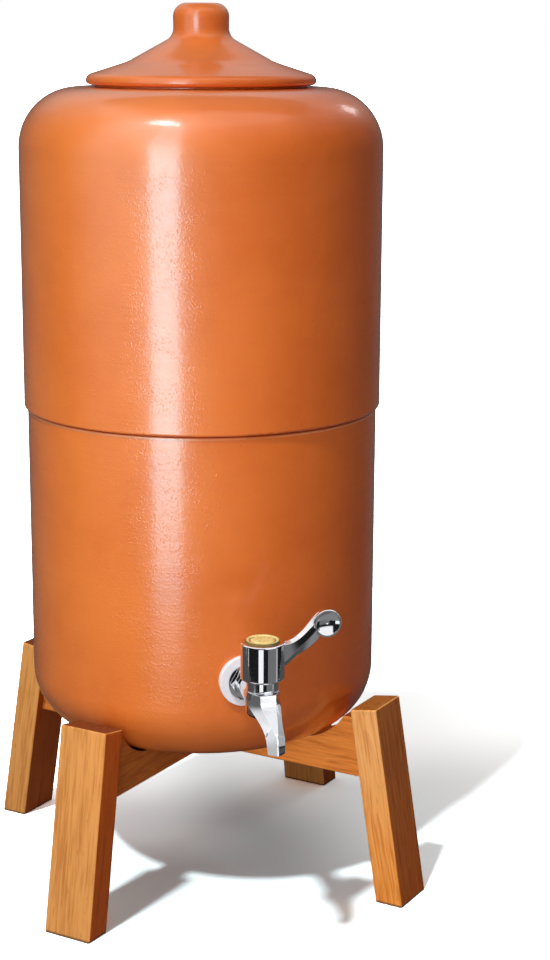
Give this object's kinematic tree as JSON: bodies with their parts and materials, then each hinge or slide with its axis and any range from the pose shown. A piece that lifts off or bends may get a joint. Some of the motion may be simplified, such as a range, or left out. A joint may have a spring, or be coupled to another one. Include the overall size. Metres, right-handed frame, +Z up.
{
  "type": "clay water pot with tap",
  "caption": "Terracotta water filter pot of two stacked round chambers with a knobbed lid, a quarter-turn lever tap and a splayed wooden stand.",
  "frame": {"origin": "on the vertical axis of the pots, on the plane the feet stand on", "axes": "+Z up; -Y the way the tap points; +X to the right of someone facing the tap"},
  "size_m": [0.2648, 0.338, 0.5995],
  "materials": {
    "clay": "burnished terracotta, semi-gloss",
    "wood": "oiled hardwood, satin",
    "chrome": "polished chrome plate",
    "gold": "polished gold plate",
    "white_washer": "soft white, satin",
    "black_rubber": "matt",
    "white_plastic": "moulded white plastic",
    "red_rubber": "matt",
    "filter_ceramic": "unglazed white, porous",
    "brass": "machined",
    "steel": "zinc plated"
  },
  "bodies": {
    "stand": {"leg_back_right": "wood", "leg_back_left": "wood", "leg_front_left": "wood", "leg_front_right": "wood", "rail_under": "wood", "rail_over": "wood", "stand_dowels": "wood"},
    "storage_pot": {"lower_pot": "clay", "tap_body": "chrome", "tap_outer_washer": "white_washer", "tap_inner_gasket": "black_rubber", "tap_lock_nut": "white_plastic", "valve_bonnet": "chrome"},
    "filter_pot": {"upper_pot": "clay", "candle_dome_left": "filter_ceramic", "candle_base_left": "white_plastic", "candle_washer_left": "red_rubber", "candle_wing_nut_left": "white_plastic", "candle_dome_right": "filter_ceramic", "candle_base_right": "white_plastic", "candle_washer_right": "red_rubber", "candle_wing_nut_right": "white_plastic"},
    "lid": {"pot_lid": "clay"},
    "handle": {"tap_handle": "chrome", "valve_spindle": "brass", "spindle_rings": "black_rubber", "handle_screw": "steel", "handle_cap": "gold"}
  },
  "joints": [
    {"name": "storage_pot_lift", "type": "slide", "parent": "stand", "child": "storage_pot", "axis": [0, 0, 1], "range_m": [0, 0.06]},
    {"name": "filter_pot_lift", "type": "slide", "parent": "storage_pot", "child": "filter_pot", "axis": [0, 0, 1], "range_m": [0, 0.15]},
    {"name": "lid_lift", "type": "slide", "parent": "filter_pot", "child": "lid", "axis": [0, 0, 1], "range_m": [0, 0.12]},
    {"name": "tap_handle_turn", "type": "hinge", "parent": "storage_pot", "child": "handle", "pos_m": [0, -0.167, 0.185], "axis": [0, 0, -1], "range_deg": [0, 90]}
  ]
}
